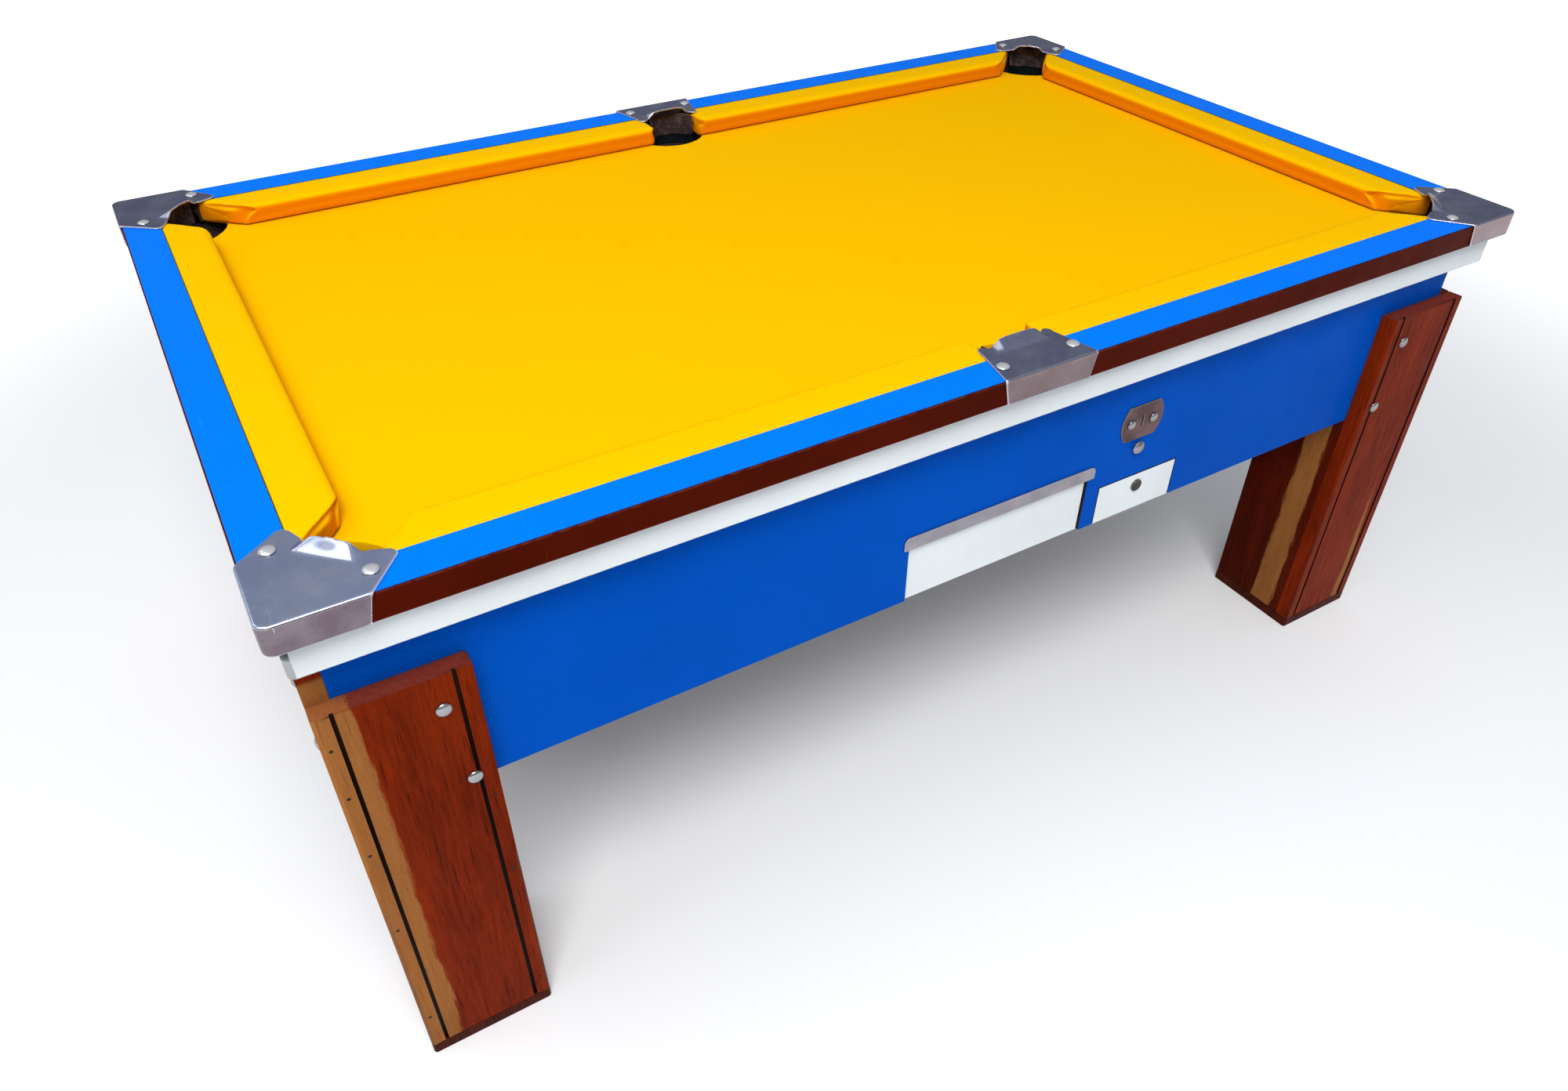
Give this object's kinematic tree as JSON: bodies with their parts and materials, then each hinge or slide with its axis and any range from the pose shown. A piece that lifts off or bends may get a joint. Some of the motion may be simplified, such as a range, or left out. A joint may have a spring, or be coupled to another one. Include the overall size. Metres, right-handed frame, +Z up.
{
  "type": "bar pool table",
  "caption": "Token-operated bar pool table with yellow cloth, blue rails, metal pocket caps, box legs, a ball drawer that slides out, a coin door and a push button.",
  "frame": {"origin": "on the floor, under the middle of the table", "axes": "+X along the table to the right, -Y towards the drawer side, +Z up"},
  "size_m": [1.9706, 1.2066, 0.8615],
  "materials": {
    "rail_brown": "satin painted edge",
    "rail_blue": "glossy laminate",
    "bed_cloth": "stretched nylon cloth",
    "cushion_cloth": "cloth over rubber",
    "cap_aluminium": "scuffed polish",
    "dome_steel": "polished dome",
    "liner_leather": "dark leather",
    "slab_board": "plain board",
    "skirt_white": "white laminate",
    "apron_blue": "blue laminate",
    "leg_wood": "varnished hardwood",
    "foot_dark": "dark painted",
    "inner_plywood": "bare plywood",
    "pull_aluminium": "brushed strip",
    "plate_steel": "satin plate",
    "zinc_steel": "zinc plated",
    "lock_dark": "dark lock"
  },
  "bodies": {
    "table": {"bed_slab": "slab_board", "bed_cloth": "bed_cloth", "rail_front": "rail_brown", "rail_back": "rail_brown", "rail_left": "rail_brown", "rail_right": "rail_brown", "rail_tops": "rail_blue", "cushion_front_left": "cushion_cloth", "cushion_front_right": "cushion_cloth", "cushion_back_left": "cushion_cloth", "cushion_back_right": "cushion_cloth", "cushion_left": "cushion_cloth", "cushion_right": "cushion_cloth", "corner_cap_front_left": "cap_aluminium", "corner_cap_front_right": "cap_aluminium", "corner_cap_back_left": "cap_aluminium", "corner_cap_back_right": "cap_aluminium", "side_cap_front": "cap_aluminium", "side_cap_back": "cap_aluminium", "cap_rivets": "dome_steel", "corner_pocket_liners": "liner_leather", "side_pocket_liners": "liner_leather", "long_skirts": "skirt_white", "end_skirts": "skirt_white", "apron_front": "apron_blue", "apron_back": "apron_blue", "end_aprons": "apron_blue", "cabinet_floor": "inner_plywood", "bed_beams": "inner_plywood", "ramp_bearers": "inner_plywood", "leg_front_left_face": "leg_wood", "leg_front_right_face": "leg_wood", "leg_back_left_face": "leg_wood", "leg_back_right_face": "leg_wood", "leg_front_left_box": "leg_wood", "leg_front_right_box": "leg_wood", "leg_back_left_box": "leg_wood", "leg_back_right_box": "leg_wood", "leg_feet": "foot_dark", "dome_bolts": "dome_steel", "leg_nuts": "zinc_steel", "drawer_runners": "inner_plywood", "hinge_floor_leaf": "zinc_steel", "hinge_pin": "zinc_steel", "token_plate": "plate_steel", "token_chute": "zinc_steel", "coin_box": "inner_plywood", "button_spring": "zinc_steel", "catch_bracket": "zinc_steel", "side_ramps": "inner_plywood", "centre_ramp": "inner_plywood", "ball_guides": "inner_plywood"},
    "ball_drawer": {"drawer_front": "skirt_white", "drawer_pull": "pull_aluminium", "drawer_tray": "inner_plywood"},
    "coin_door": {"coin_door": "skirt_white", "hinge_door_leaf": "zinc_steel"},
    "coin_lock": {"coin_lock": "lock_dark"},
    "token_button": {"token_button": "dome_steel"},
    "drawer_catch": {"drawer_catch": "zinc_steel"}
  },
  "joints": [
    {"name": "ball_drawer_slide", "type": "slide", "parent": "table", "child": "ball_drawer", "axis": [0, -1, 0], "range_m": [0, 0.2]},
    {"name": "coin_door_hinge", "type": "hinge", "parent": "table", "child": "coin_door", "pos_m": [0.2725, -0.5365, 0.47945], "axis": [1, 0, 0], "range_deg": [0, 100]},
    {"name": "coin_lock_turn", "type": "hinge", "parent": "coin_door", "child": "coin_lock", "pos_m": [0.2725, -0.55, 0.529], "axis": [0, -1, 0], "range_deg": [0, 90]},
    {"name": "token_button_press", "type": "slide", "parent": "table", "child": "token_button", "axis": [0, 1, 0], "range_m": [0, 0.006], "stiffness_N_per_m": 400, "deforming": ["button_spring"]},
    {"name": "drawer_catch_lift", "type": "hinge", "parent": "table", "child": "drawer_catch", "pos_m": [0.2525, -0.4967, 0.635], "axis": [1, 0, 0], "range_deg": [0, 17]}
  ],
  "couplings": [
    {"joint": "drawer_catch_lift", "follows": "token_button_press", "rad_per_m": 49.4}
  ]
}
